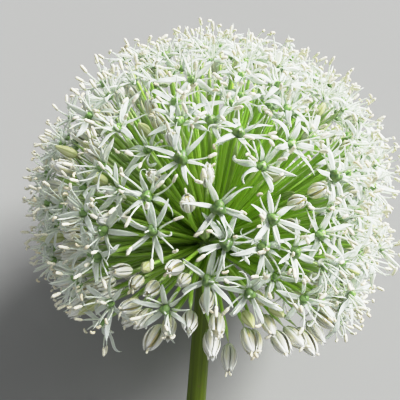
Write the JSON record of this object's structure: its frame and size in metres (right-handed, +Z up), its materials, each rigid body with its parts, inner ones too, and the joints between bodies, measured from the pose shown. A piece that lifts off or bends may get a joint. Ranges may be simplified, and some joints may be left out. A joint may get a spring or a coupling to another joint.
{
  "type": "allium flower head",
  "caption": "Globe-shaped white allium flower head on a cut stem, lying on its side: small star-shaped florets and buds on thin green stalks that radiate from the top of the stem.",
  "frame": {"origin": "on the surface that the flower lies on, under the middle of its box", "axes": "+Z up, +Y along the surface from the cut end of the stem towards the globe, +X to the right when looking along +Y"},
  "size_m": [0.1342, 0.2086, 0.132],
  "materials": {
    "stem": "satin",
    "pedicel": "satin",
    "tepal": "matte",
    "stamen": "matte",
    "ovary": "satin",
    "bud": "matte"
  },
  "bodies": {
    "root": {"stem": "stem", "umbel_third_under": "tepal", "umbel_third_left": "tepal", "umbel_third_right": "tepal"}
  },
  "joints": []
}
